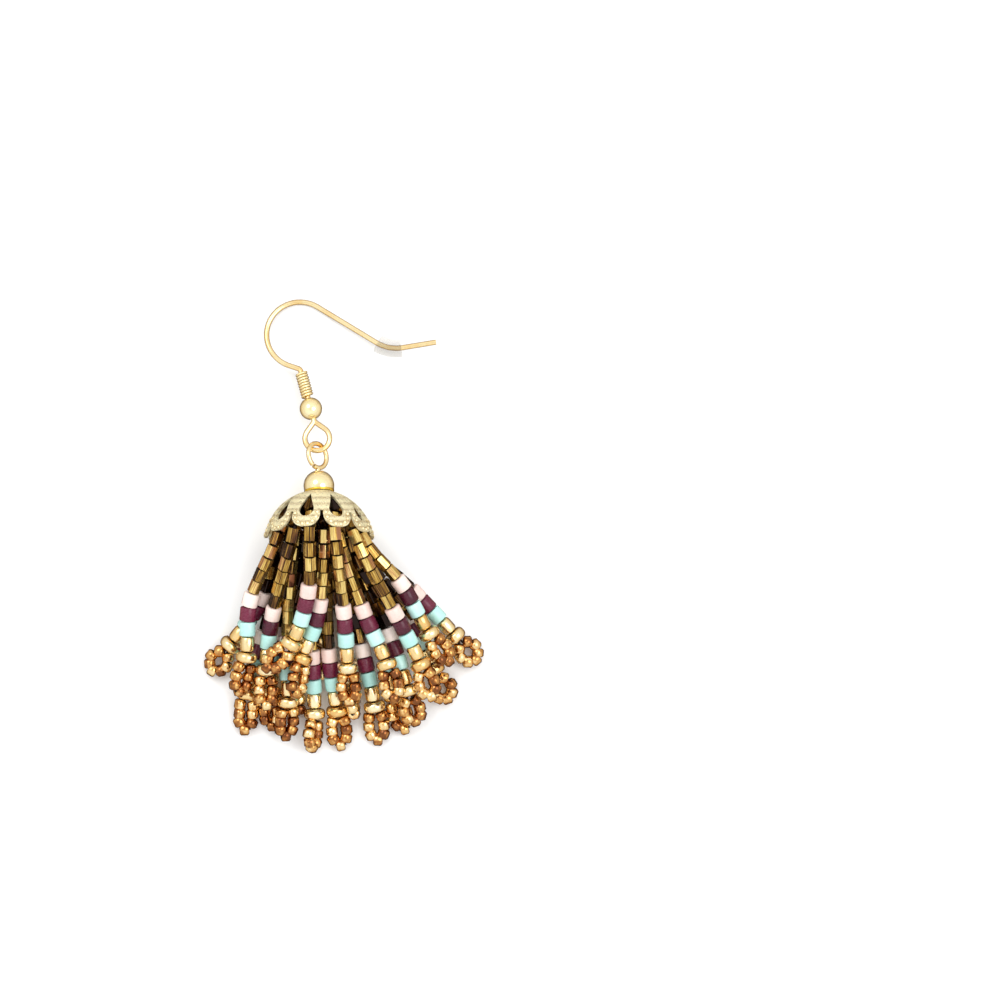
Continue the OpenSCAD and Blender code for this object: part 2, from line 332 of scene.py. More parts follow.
@dataclass(frozen=True)
class TwistedThread:
    """Dark beading thread."""

    name: str
    slot: Slot
    dark: Color = (0.01, 0.004, 0.003, 1)
    light: Color = (0.05, 0.022, 0.012, 1)

    def make(self) -> Material:
        """Builds the material.

        Returns:
            The material.
        """
        g = Graph(bpy.data.materials.new(self.name))
        color = g.ramp(g.noise(6000, 3), ((0.4, self.dark), (0.65, self.light)))
        normal = g.bump(g.noise(9000, 2), 0.5, 0.03)
        return g.close({"Base Color": color, "Roughness": 0.75, "Normal": normal})


@dataclass(frozen=True)
class PaleFloor:
    """Plain white surface under the earring."""

    name: str
    color: Color = (0.93, 0.93, 0.93, 1)

    def make(self) -> Material:
        """Builds the material.

        Returns:
            The material.
        """
        g = Graph(bpy.data.materials.new(self.name))
        rough = g.span(g.noise(40, 2), 0.75, 0.9)
        return g.close({"Base Color": self.color, "Roughness": rough, "Specular IOR Level": 0.1})


class Bench:
    """Modelling by hand on one object at a time, with operators."""

    @staticmethod
    def pick(obj: Object) -> None:
        """Makes one object the only selected and the active one.

        Args:
            obj: the object.
        """
        bpy.ops.object.select_all(action="DESELECT")
        obj.select_set(True)
        bpy.context.view_layer.objects.active = obj

    @staticmethod
    def taken(name: str) -> Object:
        """Names the object that an operator has just added.

        Args:
            name: its new name.

        Returns:
            The object.
        """
        obj = bpy.context.active_object
        obj.name = obj.data.name = name
        return obj

    @staticmethod
    def ring(name: str, sides: int, thick: float, at: Vector | Point, turns: Point) -> Object:
        """Puts down a ring of points, to be drawn out into a wire.

        Args:
            name: the object's name.
            sides: how many points.
            thick: the wire's diameter.
            at: the ring's middle.
            turns: its turns about X, Y and Z in degrees.

        Returns:
            The ring.
        """
        bpy.ops.object.select_all(action="DESELECT")
        bpy.ops.mesh.primitive_circle_add(
            vertices=sides, radius=thick / 2 * MM, fill_type="NOTHING",
            location=Vector(at) * MM, rotation=[math.radians(deg) for deg in turns],
        )
        obj = Bench.taken(name)
        bpy.ops.object.transform_apply()
        return obj

    @staticmethod
    def hoop(name: str, sides: int, thick: float, middle: Point, steps: int) -> Object:
        """Turns a closed hoop of wire about Z.

        Args:
            name: the hoop's name.
            sides: points round the wire.
            thick: the wire's diameter.
            middle: where the wire's middle crosses the XZ plane.
            steps: stretches round the hoop.

        Returns:
            The hoop.
        """
        obj = Bench.ring(name, sides, thick, middle, (90, 0, 0))
        Bench.open_all()
        bpy.ops.mesh.spin(steps=steps, angle=2 * math.pi, center=(0, 0, 0), axis=(0, 0, 1), use_auto_merge=True)
        Bench.tidy(obj, 70)
        return obj

    @staticmethod
    def double(obj: Object) -> Object:
        """Copies an object together with its mesh.

        Args:
            obj: the object.

        Returns:
            The copy.
        """
        copy = obj.copy()
        copy.data = obj.data.copy()
        bpy.context.scene.collection.objects.link(copy)
        return copy

    @staticmethod
    def edit(on: bool) -> None:
        """Goes into edit mode or leaves it."""
        bpy.ops.object.mode_set(mode="EDIT" if on else "OBJECT")

    @staticmethod
    def open_all() -> None:
        """Goes into edit mode with everything selected."""
        Bench.edit(True)
        bpy.ops.mesh.select_all(action="SELECT")

    @staticmethod
    def select(obj: Object, part: Part, test: Callable[[BMFace | BMEdge], bool]) -> None:
        """Selects faces or edges in edit mode by a test.

        Args:
            obj: the object in edit mode.
            part: which of the two.
            test: a function of a face or an edge that says whether it is wanted.
        """
        bpy.ops.mesh.select_mode(type=part.name)
        bpy.ops.mesh.select_all(action="DESELECT")
        mesh = bmesh.from_edit_mesh(obj.data)
        for item in getattr(mesh, part.value):
            item.select_set(bool(test(item)))
        mesh.select_flush_mode()
        bmesh.update_edit_mesh(obj.data)

    @staticmethod
    def is_open(edge: BMEdge) -> bool:
        """Whether an edge has a face on one side only."""
        return len(edge.link_faces) == 1

    @staticmethod
    def cap_ends(obj: Object) -> None:
        """Closes each open end of a wire in edit mode."""
        Bench.select(obj, Part.EDGE, Bench.is_open)
        bpy.ops.mesh.edge_face_add()

    @staticmethod
    def bevel(size: float, segments: int) -> None:
        """Rounds the selected edges off, by a size in millimetres."""
        bpy.ops.mesh.bevel(offset=size * MM, segments=segments, affect="EDGES")

    @staticmethod
    def tidy(obj: Object, smooth_deg: float) -> None:
        """Leaves edit mode, merges doubles, turns faces outwards and shades the object.

        Args:
            obj: the object.
            smooth_deg: edges flatter than this are shaded smooth.
        """
        Bench.edit(False)
        Bench.pick(obj)
        Bench.open_all()
        bpy.ops.mesh.remove_doubles(threshold=MERGE_M)
        bpy.ops.mesh.normals_make_consistent(inside=False)
        if bmesh.from_edit_mesh(obj.data).calc_volume(signed=True) < 0:
            bpy.ops.mesh.flip_normals()
        Bench.edit(False)
        bpy.ops.object.shade_smooth_by_angle(angle=math.radians(smooth_deg))

    @staticmethod
    def settle(obj: Object, place: Matrix) -> None:
        """Puts an object's place into its mesh and leaves the object at the origin.

        Args:
            obj: the object.
            place: where its mesh goes.
        """
        obj.data.transform(place @ obj.matrix_world)
        obj.matrix_world = Matrix.Identity(4)
        obj.data.update()

    @staticmethod
    def join(parts: list[Object], name: str) -> Object:
        """Joins objects into one.

        Args:
            parts: the objects, which are used up.
            name: the joined piece's name.

        Returns:
            The piece.
        """
        Bench.pick(parts[0])
        for part in parts:
            part.select_set(True)
        if len(parts) > 1:
            bpy.ops.object.join()
        return Bench.taken(name)

    @staticmethod
    def dress(obj: Object, material: Material) -> None:
        """Gives an object one material."""
        obj.data.materials.clear()
        obj.data.materials.append(material)


@dataclass(frozen=True)
class BeadShape:
    """How one kind of bead is cut, in millimetres, and how unlike in tone its sides are."""

    across: float
    length: float
    sides: int
    bore: float
    round_off: float
    segments: int
    smooth_deg: float
    side_round: float = 0.0
    tones: float = 0.1
    # Painted shade on the corners between the sides
    corner_shade: float = 0.0
    least_wall: float = 0.05

    def build(self, name: str) -> Object:
        """Models the bead about the origin with its bore along Z.

        Args:
            name: the object's name.

        Returns:
            The bead, to be copied.
        """
        radius, half = self.across / 2 * MM, self.length / 2 * MM
        bpy.ops.object.select_all(action="DESELECT")
        bpy.ops.mesh.primitive_cylinder_add(vertices=self.sides, radius=radius, depth=2 * half)
        obj = Bench.taken(name)
        Bench.edit(True)
        if self.side_round:
            Bench.select(obj, Part.EDGE, lambda e: e.verts[0].co.z * e.verts[1].co.z < 0)
            Bench.bevel(self.side_round, 1)
        if self.round_off:
            Bench.select(obj, Part.EDGE, lambda e: e.verts[0].co.z * e.verts[1].co.z > 0)
            Bench.bevel(self.round_off, self.segments)
        Bench.select(obj, Part.FACE, lambda f: abs(f.calc_center_median().z) > half - TOUCH_M)
        flat = self.across / 2 * math.cos(math.pi / self.sides) - self.round_off
        wall = max(flat - self.bore / 2, self.least_wall)
        bpy.ops.mesh.inset(thickness=wall * MM, use_even_offset=True)
        bpy.ops.mesh.bridge_edge_loops()
        Bench.tidy(obj, self.smooth_deg)
        return obj


TUBE = BeadShape(2.24, 1.9, 12, 0.9, 0.17, 2, 40)
SHAPES: dict[BeadKind, BeadShape] = {
    BeadKind.RUN: BeadShape(1.78, 1.86, 6, 0.7, 0.0, 1, 20, side_round=0.08, tones=0.36, corner_shade=0.25),
    BeadKind.BLUSH: TUBE,
    BeadKind.PLUM: TUBE,
    BeadKind.MINT: TUBE,
    BeadKind.LONG: BeadShape(2.26, 2.0, 6, 0.6, 0.38, 2, 28, side_round=0.34),
    BeadKind.FLAT: BeadShape(3.0, 1.4, 16, 0.7, 0.52, 3, 40),
    BeadKind.SEED: BeadShape(1.7, 1.28, 8, 0.6, 0.21, 1, 50, tones=0.24),
}

BRONZE_TINTS: Stops = (
    (0.0, (0.012, 0.003, 0.001, 1)), (0.22, (0.12, 0.045, 0.01, 1)),
    (0.45, (0.5, 0.29, 0.045, 1)), (0.7, (0.95, 0.74, 0.27, 1)),
    (0.88, (0.66, 0.4, 0.14, 1)), (1.0, (0.42, 0.19, 0.09, 1)),
)
BLUSH_TINTS: Stops = ((0.0, (0.8, 0.58, 0.52, 1)), (1.0, (0.92, 0.78, 0.72, 1)))
PLUM_TINTS: Stops = ((0.0, (0.055, 0.004, 0.015, 1)), (1.0, (0.17, 0.018, 0.05, 1)))
MINT_TINTS: Stops = ((0.0, (0.36, 0.68, 0.63, 1)), (1.0, (0.54, 0.82, 0.78, 1)))
GOLD_TINTS: Stops = (
    (0.0, (0.82, 0.5, 0.17, 1)), (0.5, (0.92, 0.69, 0.33, 1)), (1.0, (0.98, 0.84, 0.53, 1)),
)
AMBER_TINTS: Stops = (
    (0.0, (0.2, 0.06, 0.01, 1)), (0.28, (0.4, 0.15, 0.028, 1)),
    (0.6, (0.74, 0.4, 0.12, 1)), (1.0, (0.96, 0.74, 0.38, 1)),
)
SKY: Stops = (
    (0.0, (0.02, 0.008, 0.003, 1)), (0.1, (0.14, 0.08, 0.04, 1)),
    (0.3, (0.56, 0.45, 0.32, 1)), (0.45, (0.76, 0.7, 0.61, 1)),
    (0.6, (0.72, 0.7, 0.67, 1)), (0.8, (0.9, 0.9, 0.9, 1)),
    (0.93, (0.98, 0.98, 0.98, 1)), (1.0, (0.74, 0.74, 0.74, 1)),
)


class Finish(Enum):
    """Every finish on the earring, with the slot that it belongs to."""

    WIRE = PolishedGold("plated_gold", Slot.WIRE)
    COIL = PolishedGold("coil_gold", Slot.WIRE, (1.0, 0.88, 0.56, 1), (0.96, 0.77, 0.4, 1), metal=0.86)
    BALL = PolishedGold("ball_gold", Slot.WIRE, (1.0, 0.9, 0.58, 1), (0.97, 0.82, 0.46, 1), 0.12, 0.86)
    COLLAR = PolishedGold("deep_gold", Slot.WIRE, (0.95, 0.72, 0.14, 1), (0.8, 0.52, 0.06, 1), 0.2)
    CAP = StampedGold("stamped_gold", Slot.CAP)
    DOT = PolishedGold("dot_gold", Slot.CAP, (1.0, 0.93, 0.62, 1), (0.94, 0.82, 0.5, 1), 0.28, 0.6)
    # Darker gold rings round the raised dots: painted shade at each dot's foot
    DOT_RIM = PolishedGold("pressed_gold", Slot.CAP, (0.78, 0.62, 0.34, 1), (0.6, 0.44, 0.2, 1), 0.35)
    SLEEVE = ClearSleeve("clear_sleeve", Slot.SLEEVE)
    THREAD = TwistedThread("twisted_thread", Slot.THREAD)
    BRONZE = BeadGlass(
        "bronze_glass", Slot.BRONZE, BRONZE_TINTS, metal=0.9, rough=0.16, coat=0.3, streak=0.22, gloss=0.3,
        sheen_streaked=True,
    )
    BLUSH = BeadGlass("blush_glass", Slot.BLUSH, BLUSH_TINTS, metal=0.0, rough=0.3, coat=0.4)
    PLUM = BeadGlass("plum_glass", Slot.PLUM, PLUM_TINTS, metal=0.0, rough=0.25, coat=0.12, gloss=0.35)
    MINT = BeadGlass("mint_glass", Slot.MINT, MINT_TINTS, metal=0.0, rough=0.3, coat=0.4)
    GOLD = BeadGlass("gold_glass", Slot.GOLD, GOLD_TINTS, metal=1.0, rough=0.2, coat=0.3)
    AMBER = BeadGlass("amber_gold_glass", Slot.GOLD, AMBER_TINTS, metal=1.0, rough=0.13, coat=0.5, streak=0.3)


BEAD_FINISH: dict[BeadKind, Finish] = {
    BeadKind.RUN: Finish.BRONZE, BeadKind.BLUSH: Finish.BLUSH, BeadKind.PLUM: Finish.PLUM,
    BeadKind.MINT: Finish.MINT, BeadKind.LONG: Finish.GOLD, BeadKind.FLAT: Finish.GOLD,
    BeadKind.SEED: Finish.AMBER,
}


class Palette:
    """The materials, each made once."""

    def __init__(self) -> None:
        """Makes every finish."""
        self.made = {finish: finish.value.make() for finish in Finish}

    def enter(self, obj: Object, finish: Finish, *nodes: str) -> None:
        """Dresses a finished piece and enters it in the frame.

        Args:
            obj: the piece, in its place.
            finish: what it is dressed in.
            *nodes: solids that it stands for.
        """
        Bench.dress(obj, self.made[finish])
        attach(obj, BODY)
        if nodes:
            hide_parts(*nodes)
        LOG.info("%s: %d faces", obj.name, len(obj.data.polygons))


def turned(axis: str, deg: float) -> Matrix:
    """A turn about an axis."""
    return Matrix.Rotation(math.radians(deg), 4, axis)


def move(point: Vector | Point) -> Matrix:
    """A move by millimetres."""
    return Matrix.Translation(Vector(point) * MM)


def facing(deg: float) -> Vector:
    """The way of a heading in the XY plane."""
    return Vector((math.cos(math.radians(deg)), math.sin(math.radians(deg)), 0))


@dataclass(frozen=True)
class Layout:
    """Where the solids' frames stand, in millimetres and degrees."""

    outline_mid: Vector = field(default_factory=lambda: Vector((-0.03, -0.34, 0)))
    arc_at: Vector = field(default_factory=lambda: Vector((-5.87, 25.365, 1.195)))
    wire_tilt: float = -10.8
    crown_at: Vector = field(default_factory=lambda: Vector((-3.2, 4.45, 5.63)))
    cap_tilt: float = 13.5
    pin_lean: float = 3.0

    def wire(self) -> Matrix:
        """From the ear wire's own plane, in metres, to the solids' frame."""
        return move(self.arc_at - self.outline_mid) @ turned("X", self.wire_tilt)

    def cap(self) -> Matrix:
        """From the cap's frame, Z from crown to mouth, in metres, to the solids' frame."""
        return move(self.crown_at - self.outline_mid) @ turned("X", 90 - self.cap_tilt)

    def pin(self) -> Matrix:
        """From the eye pin's frame to the solids' frame."""
        return self.cap() @ turned("Y", self.pin_lean)

    def from_cap(self, across: float, up: float, deep: float) -> Vector:
        """A point right, up and down the cap's axis from its crown, before the outline's middle is taken off."""
        c, s = math.cos(math.radians(self.cap_tilt)), math.sin(math.radians(self.cap_tilt))
        return self.crown_at + Vector((across, up * s - deep * c, up * c + deep * s))

    def cap_way(self) -> Vector:
        """The way from the crown to the mouth."""
        t = math.radians(self.cap_tilt)
        return Vector((0, -math.cos(t), math.sin(t)))


@dataclass(frozen=True)
class StrandPlan:
    """One strand: where it passes the cap's mouth, its first coloured bead, its flat bead and its loop."""

    across: float
    up: float
    blush: Vector
    disc: Vector
    aim: float
    tip: float
    roll: float
    open: float


# across, up, blush x, y, z, disc x, y, z, aim, tip, roll, open
STRAND_TABLE = (
    (-5.5, 1.2, -12.5, -10.7, 5.8, -12.9, -17.7, 4.8, -12, 4.4, 30, 0.85),
    (-5.6, -1.6, -11.1, -10.3, 3.6, -15.1, -16.1, 1.8, -36, 1.1, 0, 1.2),
    (-3.2, 4.9, -9.5, -12.5, 5.8, -10.3, -19.4, 4.6, 0, 4.6, 10, 0.85),
    (-1.1, 5.7, -4.6, -9, 9.9, -6.9, -15.8, 7.6, -44, 7.2, 0, 1),
    (0.8, 3.4, -3.5, -12.6, 7.1, -5.5, -17.8, 5.8, -10, 5.9, 40, 0.85),
    (-3.2, 1.8, -7.5, -14.9, 4.3, -7.4, -23.7, 3.8, -4, 2.9, 20, 0.85),
    (-4.4, -3.6, -10.9, -15.4, 1.3, -12.9, -22.7, 1.55, -4, 1.05, 0, 0.85),
    (-1.4, -0.2, -4.2, -17.8, 3.4, -3.9, -25.3, 1.7, -4, 1.9, 60, 1),
    (0.9, 0.6, -1.9, -17.4, 3.7, -0.9, -24.9, 1.7, 6, 1.2, 0, 0.9),
    (2.2, 5, 0.1, -11.7, 7.6, 0.6, -19, 5.4, 2, 4.6, 0, 0.85),
    (2.2, -1.9, 2.5, -16.7, 3.4, 4.1, -24.3, 2, 6, 1.2, 0, 0.9),
    (2.6, 2.2, 2.7, -11.5, 6.8, 5.8, -18.6, 6.2, 12, 6, 0, 0.9),
    (3.7, -0.4, 5.9, -14.1, 4.2, 8.6, -22.1, 3.9, 12, 3, 15, 1.1),
    (4.6, 3.6, 6.7, -11.4, 7.8, 10.3, -18.6, 5.8, 18, 5.4, 0, 1),
    (5.7, 1.1, 7.7, -7.9, 6.8, 11.4, -14.5, 4.8, 35, 4.2, 20, 1),
    (5.7, -1.2, 9.1, -8.7, 3.4, 14.9, -14.9, 1.8, 40, 1.1, 0, 1.2),
    (-2.8, -5, -8.9, -16.7, 1.3, -9.9, -22.3, 1.55, 3, 1.05, 0, 0.85),
    (-1, -5.6, -6.2, -15.7, 1.3, -7, -20.9, 1.55, 4, 1.05, 0, 0.85),
    (0.4, -3.6, -3, -10.3, 1.4, -2.9, -15.4, 1.55, 0, 1.05, 0, 0.85),
    (1.5, -5.4, 0.7, -15.4, 1.3, 1, -20.7, 1.55, 4, 1.8, 80, 0.9),
    (3.4, -4.8, 5.8, -17, 1.3, 6.7, -22.9, 1.55, 18, 1.05, 0, 0.85),
    (4.8, -3.2, 8.9, -13.8, 1.3, 12.1, -19.4, 1.55, 24, 1.05, 0, 1.2),
)


# Bare strands inside: across and up where each passes the cap's mouth, then its end x, y, z
HEART_TABLE = (
    (-3.2, -1, -8.4, -13.5, 3),
    (-1.5, -2.7, -5.4, -14.5, 2.6),
    (-1.4, 2.4, -2.2, -14.5, 4.2),
    (0.3, -1.5, 0.6, -15, 3),
    (2.3, -3.6, 4, -14.5, 2.8),
    (4.1, 1.5, 7.2, -13.5, 3.6),
    (-1.3, 0.4, -7.4, -14.6, 3.2),
    (4.9, -0.6, 9.6, -12.5, 3.2),
)


def hermite(p: Vector, s: Vector, q: Vector, t: Vector, n: int) -> list[Vector]:
    """Points on a curve from p to q, without q itself.

    Args:
        p: the first end.
        s: the way that the curve leaves p.
        q: the other end.
        t: the way that it comes in at q.
        n: how many points.

    Returns:
        The points.
    """
    size = (q - p).length
    points = []
    for i in range(n):
        f = i / n
        f2, f3 = f * f, f * f * f
        points.append(
            (2 * f3 - 3 * f2 + 1) * p + (f3 - 2 * f2 + f) * size * s
            + (3 * f2 - 2 * f3) * q + (f3 - f2) * size * t
        )
    return points


class StrandRoute:
    """The middle line of a strand and of its loop, in millimetres."""

    MOUTH = 6.4
    START = 4.2
    START_IN = 0.9
    LOOP_R = 1.35
    TIGHT = 0.85
    WIDE = 1.2
    # Beads of one side and of the tip: along from the flat bead, out from the middle, lean outwards
    HAIRPIN = ((0.72, 0.84, 8), (1.96, 0.9, 0), (3.14, 0.8, -20), (3.98, 0, -90))
    ROSETTE = ((0.95, 0.72, 50), (2.0, 1.22, 8), (3.05, 0.9, -40), (3.58, 0, -90))
    FLAT_L = 1.4
    SEED_D = 1.5
    GAP = 0.1
    LOOK = 0.5

    def __init__(self, plan: StrandPlan, layout: Layout) -> None:
        """Lays the line out.

        Args:
            plan: the strand's row.
            layout: where the cap stands.
        """
        self.plan = plan
        half = math.sqrt(2 * self.LOOP_R ** 2 - plan.open ** 2)
        rise = (plan.tip - plan.disc.z) / (self.FLAT_L / 2 + self.GAP + self.SEED_D / 2 + half)
        self.loop_way = math.sqrt(1 - rise * rise) * facing(plan.aim - 90) + Vector((0, 0, rise))
        start = layout.from_cap(self.START_IN * plan.across, self.START_IN * plan.up, self.START)
        mouth = layout.from_cap(plan.across, plan.up, self.MOUTH)
        down = (plan.disc - plan.blush).normalized()
        out = (plan.blush - mouth).normalized()
        at_mouth = ((mouth - start).normalized() + out).normalized()
        at_blush = (out + down).normalized()
        at_disc = (self.loop_way + down).normalized()
        line = hermite(start, layout.cap_way(), mouth, at_mouth, 4)
        line += hermite(mouth, at_mouth, plan.blush, at_blush, 16)
        line += hermite(plan.blush, at_blush, plan.disc, at_disc, 12) + [plan.disc]
        self.points = [p - layout.outline_mid for p in reversed(line)]
        self.marks = [0.0]
        for a, b in zip(self.points, self.points[1:]):
            self.marks.append(self.marks[-1] + (b - a).length)
        self.end_way = (self.points[0] - self.points[1]).normalized()

    @property
    def length(self) -> float:
        """The line's whole length."""
        return self.marks[-1]

    def at(self, back: float) -> Vector:
        """The point at a distance back from the flat bead's middle.

        Args:
            back: the distance along the line.

        Returns:
            The point.
        """
        back = min(max(back, 0.0), self.length)
        for i, mark in enumerate(self.marks[1:]):
            if back <= mark:
                f = (back - self.marks[i]) / (mark - self.marks[i])
                return self.points[i].lerp(self.points[i + 1], f)
        return self.points[-1]

    def way(self, back: float) -> Vector:
        """The way down the strand at a distance back from the flat bead's middle.

        Args:
            back: the distance along the line.

        Returns:
            The way.
        """
        if back < 2 * self.LOOK:
            return self.end_way
        return (self.at(back - self.LOOK) - self.at(back + self.LOOK)).normalized()

    def loop(self) -> list[tuple[Vector, Vector]]:
        """Places of the loop's beads, from its foot round its tip and back.

        Returns:
            Middle and way of the bore for each bead.
        """
        side = self.loop_way.cross(Vector((0, 0, 1))).normalized()
        roll = math.radians(self.plan.roll)
        flat = side * math.cos(roll) + side.cross(self.loop_way) * math.sin(roll)
        foot = self.points[0] + self.loop_way * (self.FLAT_L / 2)
        wide = (self.plan.open - self.TIGHT) / (self.WIDE - self.TIGHT)
        places = []
        for hand, rows in ((1, range(4)), (-1, range(2, -1, -1))):
            for k in rows:
                along, out, lean = (a + (b - a) * wide for a, b in zip(self.HAIRPIN[k], self.ROSETTE[k]))
                angle = math.radians(lean)
                at = foot + self.loop_way * along + flat * (hand * out)
                places.append((at, self.loop_way * (hand * math.cos(angle)) + flat * math.sin(angle)))
        return places


@dataclass
class Fringe:
    """All the bead strands, made of one piece for each kind of bead, and their thread."""

    layout: Layout
    lying_gap: float = 0.08
    lean: float = 3.0
    fatness: tuple[float, float] = (0.95, 1.0)
    shortness: tuple[float, float] = (0.97, 1.0)
    seed_length: tuple[float, float] = (0.9, 1.06)
    seed_jog: float = 0.07
    seed_lean: float = 0.12
    seed_tint: tuple[float, float] = (0.08, 1.0)
    run_room: float = 0.06
    run_apart: float = 0.13
    # Painted shade that darkens the runs the lower they lie: from this height, over this rise, and no darker
    # than this
    shade_base_z: float = 2.0
    shade_fade_over: float = 6.0
    shade_least_light: float = 0.26
    # Low end of a run's tint, which follows the painted shade
    shade_low_share: float = 0.3
    shade_low_off: float = 0.1
    corner_from: float = 0.35
    heart_start: float = 5.2
    heart_gap: float = 0.08
    # The heart's beads are tinted dark: painted shade
    heart_shade_tint: tuple[float, float] = (-0.1, 0.12)
    thread_d: float = 0.32
    thread_steps: int = 40
    # Out from the cap's axis and down from its crown
    dome_top: tuple[float, float] = (3.55, 2.15)
    dome_foot: tuple[float, float] = (5.0, 4.1)
    dome_turn: float = 3.0
    dome_stretch: float = 1.1
    # The dome's beads are tinted dark: painted shade under the cap
    dome_shade_tint: tuple[float, float] = (0.0, 0.2)
    core_top_r: float = 1.0
    core_foot_r: float = 3.6
    core_l: float = 2.4
    core_deep: float = 2.75
    core_round: float = 0.35
    masters: dict[BeadKind, Object] = field(default_factory=dict)
    copies: dict[BeadKind, list[Object]] = field(default_factory=lambda: {kind: [] for kind in BeadKind})
    dice: random.Random = field(default_factory=lambda: random.Random(11))
    routes: list[StrandRoute] = field(init=False)
    nodes: list[str] = field(init=False)

    def __post_init__(self) -> None:
        """Lays out the strands."""
        self.routes = [
            StrandRoute(StrandPlan(r[0], r[1], Vector(r[2:5]), Vector(r[5:8]), *r[8:]), self.layout)
            for r in STRAND_TABLE
        ]
        self.nodes = [f"strand_{i + 1:02d}" for i in range(len(self.routes))]

    def bead(self, kind: BeadKind, at: Vector, way: Vector, stretch: float = 1.0,
             tint: tuple[float, float] = (0.0, 1.0)) -> None:
        """Sets one bead on its thread.

        Args:
            kind: which bead.
            at: its middle.
            way: the way of its bore.
            stretch: its length over the master's.
            tint: span that its tint is drawn from.
        """
        dice, shape = self.dice, SHAPES[kind]
        copy = Bench.double(self.masters[kind])
        lean = turned("X", dice.uniform(-self.lean, self.lean))
        fat = dice.uniform(*self.fatness)
        size = Matrix.Diagonal((fat, fat, stretch * dice.uniform(*self.shortness), 1.0))
        stand = way.to_track_quat("Z", "X").to_matrix().to_4x4()
        resting = Vector((at.x, at.y, max(at.z, shape.across / 2 + self.lying_gap)))
        place = move(resting) @ stand @ turned("Z", dice.uniform(0, 360)) @ lean @ size
        self.tone(copy.data, dice.uniform(*tint), shape)
        Bench.settle(copy, place)
        self.copies[kind].append(copy)

    def tone(self, mesh: Mesh, middle: float, shape: BeadShape) -> None:
        """Gives each side of a bead its tone, and paints shade on its corners.

        Args:
            mesh: the bead, still about the origin.
            middle: the bead's own tone.
            shape: how it is cut.
        """
        own = [middle + self.dice.uniform(-shape.tones, shape.tones) for _ in range(shape.sides)]
        step = 2 * math.pi / shape.sides
        values = []
        for face in mesh.polygons:
            turn = (math.atan2(face.center.y, face.center.x) - math.pi / 2) / step + 0.5
            side = round(turn)
            # Corner faces get the painted shade
            corner = abs(turn - side) > self.corner_from
            values.append(own[side % shape.sides] - (shape.corner_shade if corner else 0))
        attribute = mesh.attributes.new(TINT, "FLOAT", "FACE")
        attribute.data.foreach_set("value", values)

    def heart(self) -> None:
        """Hangs the bare strands in the fringe's heart, their beads tinted dark as painted shade between the
        others.
        """
        pitch = SHAPES[BeadKind.RUN].length + self.heart_gap
        for across, up, *end in HEART_TABLE:
            start = self.layout.from_cap(across, up, self.heart_start)
            mouth = self.layout.from_cap(across, up, StrandRoute.MOUTH)
            foot = Vector(end)
            out = (foot - mouth).normalized()
            line = [start, *hermite(mouth, (out + self.layout.cap_way()).normalized(), foot, out, 24), foot]
            spare = 0.0
            for a, b in zip(line, line[1:]):
                spare += (b - a).length
                if spare >= pitch:
                    spare = 0.0
                    middle = b - self.layout.outline_mid
                    self.bead(BeadKind.RUN, middle, (b - a).normalized(), tint=self.heart_shade_tint)

    def jog(self, reach: float) -> Vector:
        """A chance offset of up to its reach each way."""
        return Vector([self.dice.uniform(-reach, reach) for _ in range(3)])

    def string(self, route: StrandRoute) -> None:
        """Strings one strand, from the loop up into the cap.

        Args:
            route: the strand's line.
        """
        for at, way in route.loop():
            stretch = self.dice.uniform(*self.seed_length)
            self.bead(BeadKind.SEED, at + self.jog(self.seed_jog), way + self.jog(self.seed_lean), stretch,
                      self.seed_tint)
        self.bead(BeadKind.FLAT, route.at(0), route.end_way)
        back = SHAPES[BeadKind.FLAT].length / 2 + route.GAP
        for kind in (BeadKind.LONG, BeadKind.MINT, BeadKind.PLUM, BeadKind.BLUSH):
            length = SHAPES[kind].length
            self.bead(kind, route.at(back + length / 2), route.way(back + length / 2))
            back += length + route.GAP
        run = SHAPES[BeadKind.RUN].length
        count = max(1, round((route.length - back) / (run + self.run_room)))
        pitch = (route.length - back) / count
        for k in range(count):
            middle = back + (k + 0.5) * pitch
            at = route.at(middle)
            # Painted shade: a run that lies lower gets a darker tint
            light = min(max((at.z - self.shade_base_z) / self.shade_fade_over, self.shade_least_light), 1.0)
            tint = (self.shade_low_share * light - self.shade_low_off, light)
            self.bead(BeadKind.RUN, at, route.way(middle), (pitch - self.run_apart) / run, tint)

    def thread(self, route: StrandRoute) -> Object:
        """Runs the thread through a strand and round its loop.

        Args:
            route: the strand's line.

        Returns:
            The thread as a mesh.
        """
        steps = self.thread_steps
        line = [route.at(route.length * (1 - i / steps)) for i in range(steps + 1)]
        half = SHAPES[BeadKind.SEED].length / 2
        line += [at + way * step for at, way in route.loop() for step in (-half, half)] + line[-1:]
        curve = bpy.data.curves.new("thread", "CURVE")
        curve.dimensions, curve.bevel_depth, curve.bevel_resolution = "3D", self.thread_d / 2 * MM, 1
        curve.use_fill_caps = True
        spline = curve.splines.new("POLY")
        spline.points.add(len(line) - 1)
        for knot, point in zip(spline.points, line):
            knot.co = (*(point * MM), 1)
        obj = bpy.data.objects.new("thread", curve)
        bpy.context.scene.collection.objects.link(obj)
        Bench.pick(obj)
        bpy.ops.object.convert(target="MESH")
        return bpy.context.active_object

    def build(self, palette: Palette) -> None:
        """Makes every strand and dresses it.

        Args:
            palette: the materials.
        """
        self.masters = {kind: shape.build(kind.name.lower()) for kind, shape in SHAPES.items()}
        for route in self.routes:
            self.string(route)
        self.heart()
        for kind, parts in self.copies.items():
            LOG.info("%s: %d beads", kind.value, len(parts))
            palette.enter(Bench.join(parts, kind.value), BEAD_FINISH[kind], *self.nodes)
            self.copies[kind] = []
        threads = Bench.join([self.thread(route) for route in self.routes], "strand_threads")
        Bench.tidy(threads, 60)
        palette.enter(threads, Finish.THREAD, *self.nodes)

